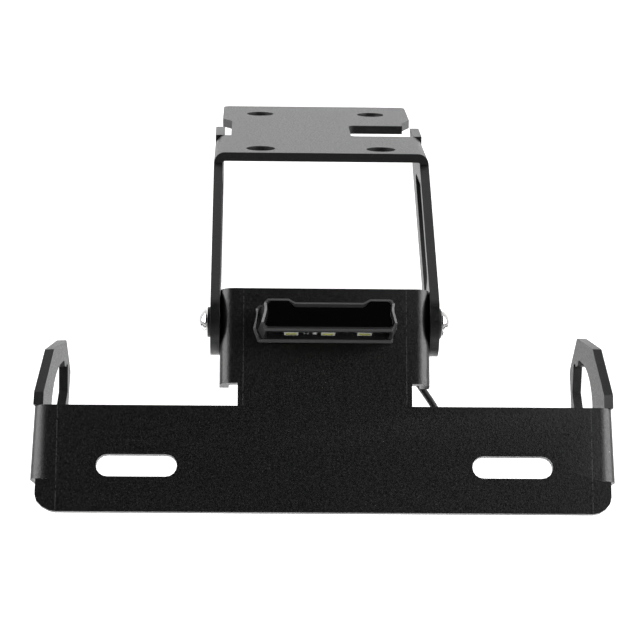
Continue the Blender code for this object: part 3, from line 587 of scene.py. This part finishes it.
for number, across in enumerate(LED_PLACES, 1):
    work = bmesh.new()
    plate_block(work, (across, *LED_MIDDLE), LED_SIZE)
    work.faces.ensure_lookup_table()
    under = min(work.faces, key=lambda face: from_plate(face.calc_center_median()).y)
    bmesh.ops.inset_individual(work, faces=[under], thickness=LED_FRAME, depth=0)
    lift = on_plate(0, LED_DISH, 0) - on_plate(0, 0, 0)
    for point in under.verts:
        point.co += lift
    body = moulded(f"led_{number}_package", work, package, LED_EDGE)
    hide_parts(f"led_{number}")
    work = bmesh.new()
    narrower = 2 * LED_FRAME + PHOSPHOR_GAP
    plate_block(work, (across, LED_MIDDLE[0] - LED_SIZE[1] / 2 + PHOSPHOR_UP, LED_MIDDLE[1]),
                (LED_SIZE[0] - narrower, PHOSPHOR_THICK, LED_SIZE[2] - narrower))
    moulded(f"led_{number}_phosphor", work, phosphor, PHOSPHOR_EDGE)
    for side, end in (("left", -1), ("right", 1)):
        work = bmesh.new()
        foot = (across + end * LED_SIZE[0] / 2, LED_MIDDLE[0] + LEG_ABOVE, LED_MIDDLE[1])
        plate_block(work, foot, LEG_SIZE)
        moulded(f"led_{number}_leg_{side}", work, tinned, TIN_EDGE)

for number, (across, ceramic) in enumerate(zip(CHIP_PLACES, (dark_chip, pale_chip)), 1):
    work = bmesh.new()
    plate_block(work, (across, *CHIP_MIDDLE), (CHIP_SIZE[0] - 2 * CHIP_END, *CHIP_SIZE[1:]))
    body = moulded(f"resistor_{number}_body", work, ceramic, CHIP_EDGE)
    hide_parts(f"resistor_{number}")
    for side, end in (("left", -1), ("right", 1)):
        work = bmesh.new()
        cap = (across + end * (CHIP_SIZE[0] - CHIP_END) / 2, *CHIP_MIDDLE)
        plate_block(work, cap, (CHIP_END, CHIP_SIZE[1] + TIN_THICK, CHIP_SIZE[2] + TIN_THICK))
        moulded(f"resistor_{number}_cap_{side}", work, tinned, TIN_EDGE)

# Floor
# A white sheet that lies flat under the holder and curves up into a wall behind it. It glows through
# itself, as a studio table does, and glows less under the holder as painted shade.
FLOOR_HEIGHT = -0.5
FLOOR_FRONT = -0.75
FLOOR_HALF_WIDTH = 5.0
SWEEP_START = 1.6
SWEEP_RADIUS = 1.0
SWEEP_STEPS = 16
WALL_HEIGHT = 4.0
# Middle of the painted shade on the floor, where its glow is weakest.
PAINTED_SHADE_PLACE = (0, -0.3, -0.5)

floor_paint, tree, shader = plain_material("white_floor_painted_shade", (0.9, 0.9, 0.9), roughness=0.8)
shader.inputs["Emission Color"].default_value = (1, 1, 1, 1)
place = tree.nodes.new("ShaderNodeTexCoord")
away = tree.nodes.new("ShaderNodeVectorMath")
away.operation = "DISTANCE"
away.inputs[1].default_value = PAINTED_SHADE_PLACE
tree.links.new(place.outputs["Object"], away.inputs[0])
# Painted shade: the glow is weakest near a place under the holder and grows away from it.
glow_and_painted_shade = ramp(tree, away.outputs["Value"], low=0.12, high=0.62, start=0.5, end=1.0)
tree.links.new(glow_and_painted_shade, shader.inputs["Emission Strength"])
profile = [(FLOOR_FRONT, FLOOR_HEIGHT)]
for i in range(SWEEP_STEPS + 1):
    turn = pi / 2 * i / SWEEP_STEPS
    profile.append((SWEEP_START + SWEEP_RADIUS * sin(turn),
                    FLOOR_HEIGHT + SWEEP_RADIUS * (1 - cos(turn))))
profile.append((SWEEP_START + SWEEP_RADIUS, WALL_HEIGHT))
points = [(x, y, z) for y, z in profile for x in (-FLOOR_HALF_WIDTH, FLOOR_HALF_WIDTH)]
faces = [(2 * i, 2 * i + 1, 2 * i + 3, 2 * i + 2) for i in range(len(profile) - 1)]
mesh = bpy.data.meshes.new("floor")
mesh.from_pydata(points, [], faces)
mesh.shade_smooth()
floor = bpy.data.objects.new("floor", mesh)
bpy.context.scene.collection.objects.link(floor)
mesh.materials.append(floor_paint)

# Light
# Large soft boxes at both sides give the folds their long highlights, and weaker ones light the plate,
# the top and the front edges. The room round them is dim, and its walls look pale in the picture.
LIT_PLACE = Vector((0, -0.12, -0.06))


def soft_box(name, azimuth, elevation, distance, size, radiance):
    """A soft box round the holder, its azimuth in degrees from the front toward the right."""
    aside, above = radians(azimuth), radians(elevation)
    way = Vector((sin(aside) * cos(above), -cos(aside) * cos(above), sin(above)))
    light = bpy.data.lights.new(name, "AREA")
    light.shape = "RECTANGLE"
    light.size, light.size_y = size
    light.energy = radiance * pi * size[0] * size[1]
    box = bpy.data.objects.new(name, light)
    bpy.context.scene.collection.objects.link(box)
    box.location = LIT_PLACE + way * distance
    box.rotation_euler = (-way).to_track_quat("-Z", "Y").to_euler()


soft_box("left_box", -83, 23, distance=1.5, size=(1.4, 1.1), radiance=6.5)
soft_box("left_front_box", -50, 25, distance=1.6, size=(0.6, 1.2), radiance=0.9)
soft_box("right_box", 79, 23, distance=1.5, size=(1.5, 1.1), radiance=7.0)
soft_box("right_front_box", 44, 25, distance=1.6, size=(0.9, 1.2), radiance=2.1)
soft_box("top_box", 180, 75, distance=1.8, size=(1.6, 1.2), radiance=0.8)
soft_box("front_card", 0, -14, distance=2.4, size=(2.4, 1.4), radiance=0.40)
world = bpy.data.worlds.new("room")
world.use_nodes = True
tree = world.node_tree
dim = tree.nodes["Background"]
dim.inputs["Color"].default_value = (0.8, 0.82, 0.85, 1)
dim.inputs["Strength"].default_value = 0.02
pale = tree.nodes.new("ShaderNodeBackground")
pale.inputs["Color"].default_value = (0.9, 0.9, 0.9, 1)
ray = tree.nodes.new("ShaderNodeLightPath")
either = tree.nodes.new("ShaderNodeMixShader")
tree.links.new(ray.outputs["Is Camera Ray"], either.inputs["Fac"])
tree.links.new(dim.outputs["Background"], either.inputs[1])
tree.links.new(pale.outputs["Background"], either.inputs[2])
tree.links.new(either.outputs["Shader"], tree.nodes["World Output"].inputs["Surface"])
bpy.context.scene.world = world
bpy.context.scene.view_settings.view_transform = "Standard"
